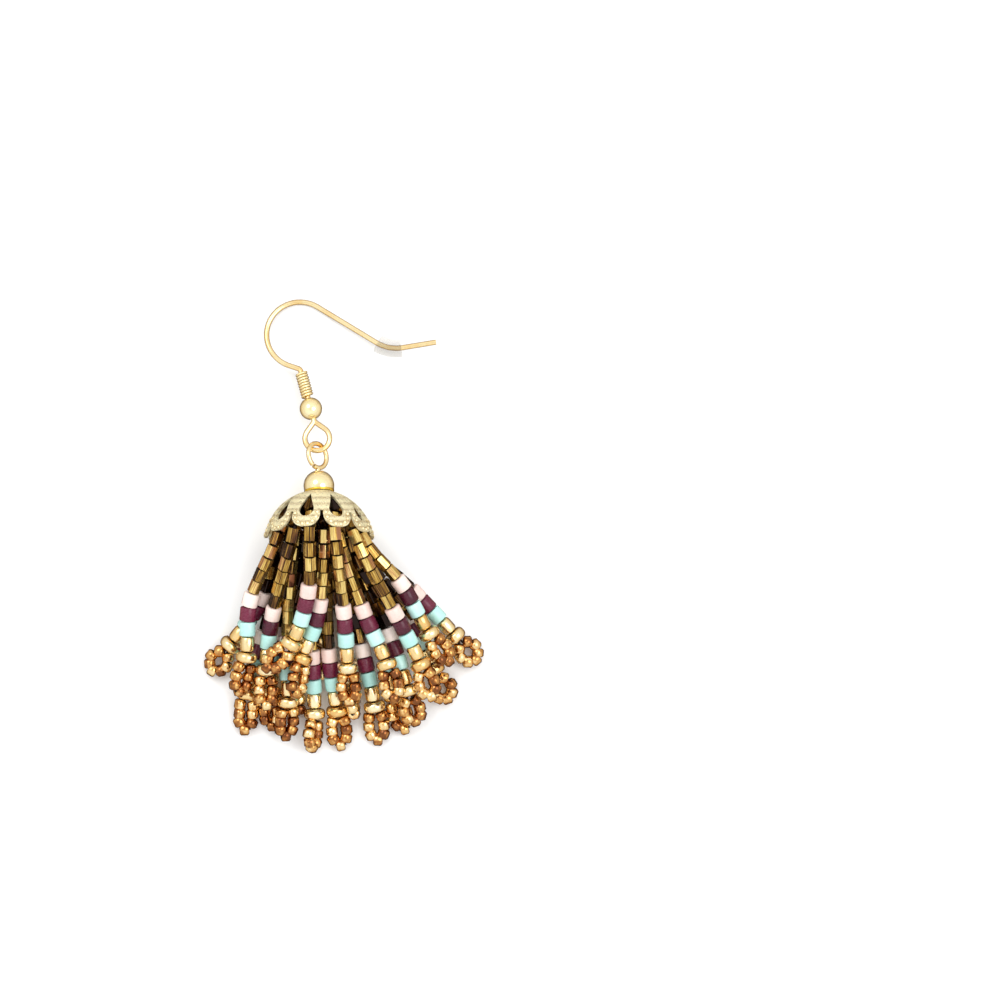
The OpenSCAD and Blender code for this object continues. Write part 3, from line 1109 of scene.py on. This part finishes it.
    def fill_dome(self, palette: Palette, crown: Crown) -> None:
        """Puts the strands' first beads under the dome, behind its holes, tinted dark as painted shade, and the
        thread core in their middle.

        Args:
            palette: the materials.
            crown: the cap, with two beads behind each of its petals.
        """
        cap = self.layout.cap()
        for i in range(2 * crown.petals):
            turn = 90 - crown.cap_turn + (i + 0.5) * 180 / crown.petals
            turn += self.dice.uniform(-self.dome_turn, self.dome_turn)
            ends = (self.dome_top, self.dome_foot)
            high, low = (cap @ ((out * facing(turn) + Vector((0, 0, deep))) * MM) for out, deep in ends)
            way = (low - high).normalized()
            # Painted shade: the beads behind the holes get dark tints
            self.bead(BeadKind.RUN, (high + low) / 2 / MM, way, self.dome_stretch, self.dome_shade_tint)
        palette.enter(Bench.join(self.copies[BeadKind.RUN], "dome_beads"), Finish.BRONZE, "thread_knot")
        bpy.ops.object.select_all(action="DESELECT")
        bpy.ops.mesh.primitive_cone_add(
            vertices=32, radius1=self.core_top_r * MM, radius2=self.core_foot_r * MM, depth=self.core_l * MM,
            location=(0, 0, self.core_deep * MM),
        )
        core = Bench.taken("thread_core")
        Bench.open_all()
        Bench.bevel(self.core_round, 3)
        Bench.tidy(core, 40)
        Bench.settle(core, cap)
        palette.enter(core, Finish.THREAD, "thread_knot")

    def clear(self) -> None:
        """Takes the master beads away."""
        for master in self.masters.values():
            bpy.data.objects.remove(master)


class Pen:
    """Draws a round wire in its own plane by extruding and spinning a ring of points."""

    def __init__(self, name: str, start: Vector, heading: float, thick: float, sides: int = 20) -> None:
        """Puts the first ring down.

        Args:
            name: the wire's name.
            start: where it starts in its own plane.
            heading: its heading in degrees.
            thick: its diameter.
            sides: points in the ring.
        """
        self.at, self.heading = Vector((start.x, start.y, 0)), heading
        self.obj = Bench.ring(name, sides, thick, self.at, (0, 90, heading))
        Bench.open_all()

    def straight(self, length: float) -> None:
        """Draws a straight stretch.

        Args:
            length: how long it is.
        """
        step = facing(self.heading) * length
        bpy.ops.mesh.extrude_region_move(TRANSFORM_OT_translate={"value": step * MM})
        self.at = self.at + step

    def bend(self, radius: float, turn: float, steps: int) -> None:
        """Draws a bend.

        Args:
            radius: of the wire's middle line.
            turn: in degrees, to the left when positive.
            steps: rings along it.
        """
        mid = self.at + radius * facing(self.heading + math.copysign(90, turn))
        # The spin operator counts its angle the other way round
        bpy.ops.mesh.spin(
            steps=steps, angle=-math.radians(turn), center=mid * MM, axis=(0, 0, 1), use_auto_merge=False,
        )
        self.at = mid + turned("Z", turn) @ (self.at - mid)
        self.heading += turn

    def lift(self) -> Object:
        """Caps both ends and hands the wire over.

        Returns:
            The wire.
        """
        Bench.cap_ends(self.obj)
        Bench.tidy(self.obj, 50)
        return self.obj


@dataclass
class EarWire:
    """The bent wire with its coil, ball and clear stopper."""

    layout: Layout
    wire_d: float = 0.7
    tail_l: float = 4.6
    tip_short: float = 0.04
    bend_r: float = 5.0
    arm_l: float = 9.3
    arc_r: float = 4.45
    loop_r: float = 1.65
    loop_drop: float = 2.33
    loop_short: float = 0.12
    foot_l: float = 1.3
    kink_r: float = 0.5
    ball_on_shank: float = 5.3
    loop_neck: float = 1.8
    neck_r: float = 0.5
    arm_heading: float = -31.7
    tail_heading: float = 9.6
    foot_heading: float = -18.6
    shank_heading: float = -75.0
    loop_lean: float = 5.0
    ball_d: float = 3.0
    ball_bore: float = 0.9
    coil_d: float = 1.7
    coil_wire_d: float = 0.33
    coil_turns: int = 9
    coil_gap: float = 0.05
    stopper_d: float = 2.4
    stopper_bore: float = 0.76
    stopper_short_deg: float = 2.0
    stopper_round: float = 0.14

    def shank_start(self) -> Vector:
        """Where the straight shank under the kink starts.

        Returns:
            The point in the wire's plane.
        """
        down = facing(self.foot_heading - 90)
        foot_end = self.arc_r * down + self.foot_l * facing(self.foot_heading)
        return foot_end + self.kink_r * (down + facing(self.shank_heading + 90))

    def bend_mid(self) -> Vector:
        """The middle of the slight bend under the stopper."""
        side = facing(self.arm_heading + 90)
        return (self.arc_r + self.bend_r) * side + self.arm_l * facing(self.arm_heading)

    def wire(self) -> Object:
        """Draws the wire from its tip to the end of the teardrop loop.

        Returns:
            The wire.
        """
        side = math.degrees(math.asin(self.loop_r / self.loop_drop))
        leg = math.sqrt(self.loop_drop ** 2 - self.loop_r ** 2)
        neck_turn = -(self.loop_lean + side)
        setback = self.neck_r * math.tan(math.radians(-neck_turn / 2))
        tail_l = self.tail_l - self.tip_short
        tip = self.bend_mid() + self.bend_r * facing(self.tail_heading - 90) + tail_l * facing(self.tail_heading)
        # Straight stretch, then the radius, turn and rings of the bend after it
        stretches = (
            (tail_l, self.bend_r, self.arm_heading - self.tail_heading, 12),
            (self.arm_l, self.arc_r, 180 + self.foot_heading - self.arm_heading, 48),
            (self.foot_l, self.kink_r, self.shank_heading - self.foot_heading, 8),
            (self.ball_on_shank + self.loop_neck - setback, self.neck_r, neck_turn, 8),
            (leg - setback, self.loop_r, 180 + 2 * side, 40),
        )
        pen = Pen("ear_wire_bent", tip, self.tail_heading + 180, self.wire_d)
        for length, radius, turn, steps in stretches:
            pen.straight(length)
            pen.bend(radius, turn, steps)
        pen.straight(leg - self.loop_short)
        return pen.lift()

    def coil(self) -> Object:
        """Winds the coil with a screw modifier.

        Returns:
            The coil about Z, its top at the origin.
        """
        length = self.ball_on_shank - self.ball_d / 2 - 2 * self.coil_gap
        rise = (length - self.coil_wire_d) / self.coil_turns
        first = ((self.coil_d - self.coil_wire_d) / 2, 0, self.coil_gap + self.coil_wire_d / 2)
        obj = Bench.ring("wire_coil_wound", 10, self.coil_wire_d, first, (90, 0, 0))
        screw = obj.modifiers.new("wind", "SCREW")
        screw.axis, screw.angle, screw.iterations = "Z", 2 * math.pi, self.coil_turns
        screw.screw_offset, screw.steps, screw.render_steps = rise * MM, 20, 20
        bpy.ops.object.modifier_apply(modifier=screw.name)
        Bench.edit(True)
        Bench.cap_ends(obj)
        Bench.tidy(obj, 50)
        return obj

    def stopper(self) -> Object:
        """Spins the sleeve round the bend as a thick-walled tube.

        Returns:
            The sleeve in the wire's plane.
        """
        mid = self.bend_mid()
        start = self.arm_heading - 90 + self.stopper_short_deg
        span = self.tail_heading - self.arm_heading - 2 * self.stopper_short_deg
        ends = [mid + self.bend_r * facing(deg) for deg in (start, start + span)]
        tubes = []
        for thick in (self.stopper_d, self.stopper_bore):
            pen = Pen("tube", ends[0], start + 90, thick, 28)
            pen.bend(self.bend_r, span, 12)
            Bench.edit(False)
            tubes.append(pen.obj)
        sleeve = Bench.join(tubes, "stopper_sleeve")
        Bench.edit(True)
        reach = self.stopper_d * MM
        for end in ends:
            near = end * MM
            Bench.select(sleeve, Part.EDGE, lambda e: Bench.is_open(e)
                         and all((v.co - near).length < reach for v in e.verts))
            bpy.ops.mesh.bridge_edge_loops()
        Bench.select(sleeve, Part.EDGE, lambda e: len(e.link_faces) == 2
                     and e.link_faces[0].normal.dot(e.link_faces[1].normal) < 0.3)
        Bench.bevel(self.stopper_round, 3)
        Bench.tidy(sleeve, 40)
        return sleeve

    def build(self, palette: Palette) -> None:
        """Makes the wire's pieces and dresses them.

        Args:
            palette: the materials.
        """
        frame = self.layout.wire()
        shank = frame @ move(self.shank_start()) @ turned("Z", self.shank_heading) @ turned("Y", 90)
        ball = bored_ball("wire_ball_polished", self.ball_d, self.ball_bore)
        pieces = (
            (self.wire(), frame, Finish.WIRE, "ear_wire"),
            (self.coil(), shank, Finish.COIL, "wire_coil"),
            (ball, shank @ move((0, 0, self.ball_on_shank)), Finish.BALL, "wire_ball"),
            (self.stopper(), frame, Finish.SLEEVE, "wire_stopper"),
        )
        for obj, place, finish, node in pieces:
            Bench.settle(obj, place)
            palette.enter(obj, finish, node)


def bored_ball(name: str, across: float, bore: float, edge: float = 0.05) -> Object:
    """Models a ball with a hole along Z.

    Args:
        name: the ball's name.
        across: its diameter.
        bore: the hole's diameter.
        edge: how far the hole's edge is rounded off.

    Returns:
        The ball about the origin.
    """
    cut = math.sqrt(across ** 2 - bore ** 2) / 2 * MM
    bpy.ops.object.select_all(action="DESELECT")
    bpy.ops.mesh.primitive_uv_sphere_add(segments=48, ring_count=32, radius=across / 2 * MM)
    obj = Bench.taken(name)
    Bench.edit(True)
    Bench.select(obj, Part.FACE, lambda f: abs(f.calc_center_median().z) > cut)
    bpy.ops.mesh.delete(type="FACE")
    Bench.select(obj, Part.EDGE, Bench.is_open)
    bpy.ops.mesh.bridge_edge_loops()
    Bench.select(obj, Part.EDGE, lambda e: e.calc_face_angle(0) > 1 and e.verts[0].co.z * e.verts[1].co.z > 0)
    Bench.bevel(edge, 2)
    Bench.tidy(obj, 40)
    return obj


@dataclass
class Crown:
    """The cap with its ball, collar, eye pin and raised dots, each dot ringed with darker gold as painted shade.
    """

    layout: Layout
    ball_d: float = 4.1
    ball_lift: float = 0.75
    ball_bore: float = 0.82
    eye_wire_d: float = 0.62
    eye_r: float = 1.66
    eye_turn: float = -45.0
    eye_gap: tuple[float, float] = (118.0, 128.0)
    eye_clear: float = 0.1
    pin_end: float = 2.9
    collar_r: float = 1.76
    collar_wire_d: float = 0.5
    collar_deep: float = -0.02
    cap_d: float = 14.7
    cap_depth: float = 6.4
    cap_turn: float = 4.0
    petals: int = 10
    petal_r: float = 1.9
    tip_flat: float = 0.06
    dot_d: float = 0.46
    dot_squash: float = 0.6
    rim_wire_d: float = 0.09
    dot_inset: float = 0.36
    dot_sweep: float = 190.0
    petal_dots: int = 8

    @property
    def eye_lift(self) -> float:
        """Height of the eye's middle over the crown."""
        return self.ball_lift + self.ball_d / 2 + self.eye_wire_d / 2 + self.eye_clear + self.eye_r

    def eye_pin(self) -> Object:
        """Bends the eye and joins its straight pin to it.

        Returns:
            The eye pin in the pin's frame.
        """
        stop, start = self.eye_gap
        pen = Pen("eye", self.eye_r * facing(start), start + 90, self.eye_wire_d)
        pen.bend(self.eye_r, 360 - start + stop, 44)
        eye = pen.lift()
        Bench.settle(eye, move((0, 0, -self.eye_lift)) @ turned("Z", self.eye_turn) @ turned("X", 90))
        pen = Pen("stem", Vector((0, 0, 0)), 0, self.eye_wire_d)
        pen.straight(self.pin_end + self.eye_lift - self.eye_r)
        stem = pen.lift()
        Bench.settle(stem, move((0, 0, self.eye_r - self.eye_lift)) @ turned("Y", -90))
        return Bench.join([eye, stem], "eye_pin_bent")

    def cap(self, node: Object) -> Object:
        """Copies the pierced cap's solid, merges its loose triangles and shades it.

        Args:
            node: the cap's solid.

        Returns:
            The cap in place.
        """
        cap = Bench.double(node)
        for key in list(cap.keys()):
            del cap[key]
        cap.parent = None
        cap.matrix_world = Matrix.Identity(4)
        Bench.pick(cap)
        cap = Bench.taken("bead_cap_stamped")
        Bench.open_all()
        bpy.ops.mesh.remove_doubles(threshold=2 * MERGE_M)
        Bench.edit(False)
        bpy.ops.object.shade_smooth_by_angle(angle=math.radians(35))
        return cap

    def dot(self) -> Object:
        """Models one raised dot.

        Returns:
            The dot about the origin, out along Z.
        """
        bpy.ops.object.select_all(action="DESELECT")
        bpy.ops.mesh.primitive_uv_sphere_add(segments=10, ring_count=6, radius=self.dot_d / 2 * MM)
        dot = Bench.taken("dot")
        Bench.open_all()
        bpy.ops.transform.resize(value=(1, 1, self.dot_squash))
        Bench.tidy(dot, 60)
        return dot

    def studded(self, master: Object, name: str) -> Object:
        """Sets a small shape in a row along each petal's edge.

        Args:
            master: the shape, which is used up.
            name: the name of the whole.

        Returns:
            The copies in the cap's frame.
        """
        cap = self.layout.cap()
        ring, middle_deep = self.petal_r - self.dot_inset, self.cap_depth + self.tip_flat - self.petal_r
        copies = []
        for petal in range(self.petals):
            middle = 90 - self.cap_turn + (petal + 0.5) * 360 / self.petals
            for k in range(self.petal_dots):
                swing = math.radians(self.dot_sweep * (k / (self.petal_dots - 1) - 0.5))
                deep = middle_deep + ring * math.cos(swing)
                dome_r = math.sqrt(deep * (self.cap_d - deep))
                turn = middle + math.degrees(math.asin(ring * math.sin(swing) / dome_r))
                at = dome_r * facing(turn) + Vector((0, 0, deep))
                # A petal that lies on the surface has no room for a dot
                if (cap @ (at * MM)).z < self.dot_d * MM:
                    continue
                copy = Bench.double(master)
                out = (at - Vector((0, 0, self.cap_d / 2))).to_track_quat("Z", "X").to_matrix().to_4x4()
                Bench.settle(copy, move(at) @ out)
                copies.append(copy)
        bpy.data.objects.remove(master)
        return Bench.join(copies, name)

    def build(self, nodes: dict[str, Object], palette: Palette) -> None:
        """Makes the crown's pieces and dresses them.

        Args:
            nodes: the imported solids.
            palette: the materials.
        """
        pin, cap = self.layout.pin(), self.layout.cap()
        ball = bored_ball("cap_ball_polished", self.ball_d, self.ball_bore)
        # Thin rings round the dots, dressed darker as painted shade
        rim = Bench.hoop("rim", 6, self.rim_wire_d, (self.dot_d / 2, 0, 0), 14)
        collar_at = (self.collar_r, 0, self.collar_deep)
        pieces = (
            (self.eye_pin(), pin, Finish.WIRE, ("eye_pin",)),
            (ball, pin @ move((0, 0, -self.ball_lift)), Finish.BALL, ("cap_ball",)),
            (self.cap(nodes["bead_cap"]), Matrix.Identity(4), Finish.CAP, ("bead_cap",)),
            (self.studded(self.dot(), "cap_dots"), cap, Finish.DOT, ()),
            (self.studded(rim, "cap_dot_rims"), cap, Finish.DOT_RIM, ()),
            (Bench.hoop("ball_collar", 10, self.collar_wire_d, collar_at, 48), pin, Finish.COLLAR, ()),
        )
        for obj, place, finish, stands_for in pieces:
            Bench.settle(obj, place)
            palette.enter(obj, finish, *stands_for)


@dataclass
class Studio:
    """Floor, soft light and the camera straight above."""

    frame_w: float = 133.33
    centre: tuple[float, float] = (20.9, 3.61)
    height: float = 1200.0
    focus_z: float = 4.0
    sensor: float = 36.0
    floor_m: float = 6.0
    sky_strength: float = 1.2

    def camera(self) -> None:
        """Hangs the camera over the middle of the picture."""
        data = bpy.data.cameras.new("camera")
        data.sensor_width = self.sensor
        data.lens = self.sensor * (self.height - self.focus_z) / self.frame_w
        data.clip_start, data.clip_end = 0.05, 20.0
        camera = bpy.data.objects.new("camera", data)
        camera.location = Vector((*self.centre, self.height)) * MM
        bpy.context.scene.collection.objects.link(camera)
        bpy.context.scene.camera = camera

    def floor(self) -> None:
        """Lays the floor, which the metal doesn't mirror."""
        bpy.ops.object.select_all(action="DESELECT")
        bpy.ops.mesh.primitive_plane_add(size=self.floor_m)
        floor = Bench.taken("floor")
        Bench.dress(floor, PaleFloor("pale_floor").make())
        floor.visible_glossy = False

    def lamp(self, name: str, at: Point, size: float, watts: float, mirrored: bool) -> None:
        """Hangs a soft box that faces the earring.

        Args:
            name: the lamp's name.
            at: its place in metres.
            size: how wide it is in metres.
            watts: its power.
            mirrored: whether the metal mirrors it.
        """
        data = bpy.data.lights.new(name, "AREA")
        data.shape, data.size, data.energy = "DISK", size, watts
        lamp = bpy.data.objects.new(name, data)
        lamp.location = at
        lamp.rotation_euler = (-Vector(at)).to_track_quat("-Z", "Y").to_euler()
        lamp.visible_glossy = mirrored
        bpy.context.scene.collection.objects.link(lamp)

    def world(self) -> None:
        """Paints the sky: a bright ceiling over a darker band, which the gold mirrors."""
        world = bpy.data.worlds.new("studio")
        g = Graph(world)
        up = g.add("SeparateXYZ", {0: g.add("TexCoord").outputs["Generated"]}).outputs["Z"]
        height = g.add("MapRange", {"Value": up, "From Min": -1.0}).outputs["Result"]
        sky = g.add("Background", {"Color": g.ramp(height, SKY), "Strength": self.sky_strength})
        g.add("OutputWorld", {"Surface": sky.outputs["Background"]})
        bpy.context.scene.world = world

    def build(self) -> None:
        """Sets the studio up."""
        self.camera()
        self.floor()
        self.world()
        self.lamp("key", (0.05, 0.5, 0.75), 0.6, 1.8, False)
        self.lamp("glint_left", (-0.38, 0.4, 0.7), 0.5, 1.5, True)
        self.lamp("glint_right", (0.38, 0.02, 0.66), 0.5, 1.5, True)
        bpy.context.scene.view_settings.view_transform = "Standard"
        LOG.info("studio: camera %.0f mm up", self.height)


def main() -> None:
    """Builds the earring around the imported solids."""
    logging.basicConfig(level=logging.INFO, format="%(message)s")
    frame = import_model()
    palette, layout = Palette(), Layout()
    Studio().build()
    EarWire(layout).build(palette)
    crown = Crown(layout)
    crown.build(frame["nodes"], palette)
    fringe = Fringe(layout)
    fringe.build(palette)
    fringe.fill_dome(palette, crown)
    fringe.clear()
    LOG.info("size written")


if __name__ == "__main__":
    main()
